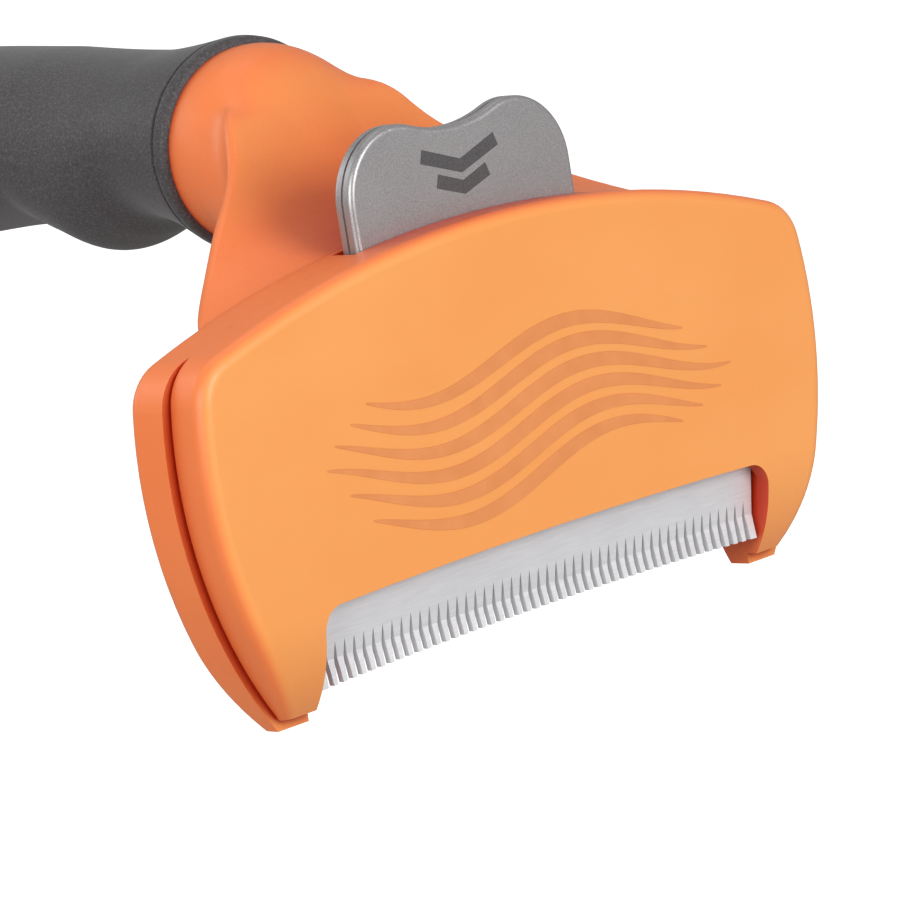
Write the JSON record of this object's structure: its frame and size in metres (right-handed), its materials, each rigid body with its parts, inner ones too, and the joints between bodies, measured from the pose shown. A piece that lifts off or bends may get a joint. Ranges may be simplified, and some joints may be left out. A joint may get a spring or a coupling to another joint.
{
  "type": "pet deshedding tool",
  "caption": "Hand deshedding tool for pets: a fine comb blade in a wide two-shell head, a sprung thumb button that drives an ejector plate, and a rubber grip on a flared neck.",
  "frame": {"origin": "middle of the cutting edge, at the tips of the blade's middle tooth", "axes": "+X along the blade, +Y from the flat front face to the grip, +Z from the teeth up to the thumb button"},
  "size_m": [0.0942, 0.1588, 0.0686],
  "materials": {
    "orange_plastic": "satin moulded orange plastic",
    "button_grey": "satin metallic grey plastic",
    "screw_steel": "zinc plated",
    "spring_steel": "drawn wire",
    "blade_steel": "fine satin stainless steel",
    "clamp_steel": "plain rolled steel",
    "core_plastic": "moulded plastic",
    "grip_rubber": "matte dark grey rubber",
    "cap_plastic": "matte dark grey plastic"
  },
  "bodies": {
    "head": {"front_cover": "orange_plastic", "rear_shell": "orange_plastic", "return_spring_left": "spring_steel", "return_spring_right": "spring_steel", "spring_post_left": "screw_steel", "spring_post_right": "screw_steel", "blade": "blade_steel", "blade_clamp": "clamp_steel", "blade_screws": "screw_steel", "cover_screws": "screw_steel", "handle_core_upper": "core_plastic", "handle_core_lower": "core_plastic", "handle_screws": "screw_steel", "grip_sleeve": "grip_rubber", "grip_end_cap": "cap_plastic"},
    "ejector": {"eject_button": "button_grey", "ejector_plate": "button_grey", "button_screws": "screw_steel"}
  },
  "joints": [
    {"name": "eject_slide", "type": "slide", "parent": "head", "child": "ejector", "axis": [0, 0, -1], "range_m": [0, 0.006], "stiffness_N_per_m": 600, "springref_m": -0.003, "deforming": ["return_spring_left", "return_spring_right"]}
  ]
}
